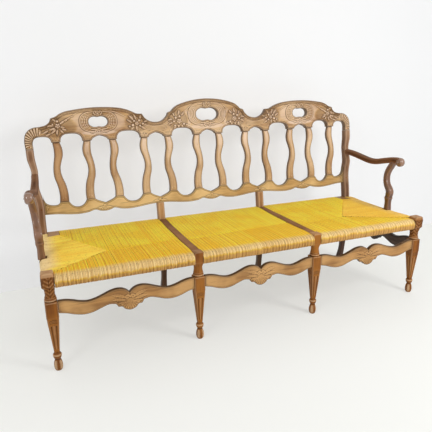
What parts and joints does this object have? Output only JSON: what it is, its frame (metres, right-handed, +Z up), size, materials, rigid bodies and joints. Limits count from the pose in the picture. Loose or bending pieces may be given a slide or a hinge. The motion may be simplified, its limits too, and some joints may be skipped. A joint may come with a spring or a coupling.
{
  "type": "settee",
  "caption": "Long wooden settee with an arched, pierced and carved back of wavy slats, scrolled arms, turned front legs, shaped stretchers and rush seat panels.",
  "frame": {"origin": "on the floor, in the middle of the settee's bounding box", "axes": "+X along the length, towards the right of someone who faces the settee; +Y towards the back; +Z up"},
  "size_m": [2.116, 0.7694, 1.1386],
  "materials": {
    "oak": "waxed",
    "dark_oak": "waxed",
    "pale_oak": "waxed",
    "rush": "woven"
  },
  "bodies": {
    "root": {"front_leg_1": "oak", "front_leg_2": "oak", "front_leg_3": "oak", "front_leg_4": "oak", "back_post_left": "oak", "middle_post_left": "oak", "middle_post_right": "oak", "back_post_right": "oak", "front_rail_left": "oak", "front_rail_middle": "oak", "front_rail_right": "oak", "back_rail_left": "oak", "back_rail_middle": "oak", "back_rail_right": "oak", "side_rail_left": "oak", "side_rail_right": "oak", "divider_left": "dark_oak", "divider_right": "dark_oak", "front_stretcher_left": "oak", "front_stretcher_middle": "oak", "front_stretcher_right": "oak", "side_stretcher_left": "oak", "side_stretcher_right": "oak", "back_stretcher_left": "dark_oak", "back_stretcher_middle": "dark_oak", "back_stretcher_right": "dark_oak", "crest_rail": "pale_oak", "lower_back_rail": "pale_oak", "slat_01": "pale_oak", "slat_02": "pale_oak", "slat_03": "pale_oak", "slat_04": "pale_oak", "slat_05": "pale_oak", "slat_06": "pale_oak", "slat_07": "pale_oak", "slat_08": "pale_oak", "slat_09": "pale_oak", "slat_10": "pale_oak", "slat_11": "pale_oak", "slat_12": "pale_oak", "arm_left": "dark_oak", "arm_right": "dark_oak", "arm_support_left": "dark_oak", "arm_support_right": "dark_oak", "arm_peg_left": "oak", "arm_peg_right": "oak", "crest_peg_left": "oak", "crest_peg_right": "oak", "rail_peg_left": "oak", "rail_peg_right": "oak", "post_peg_left": "oak", "post_peg_right": "oak", "rush_left": "rush", "rush_middle": "rush", "rush_right": "rush"}
  },
  "joints": []
}
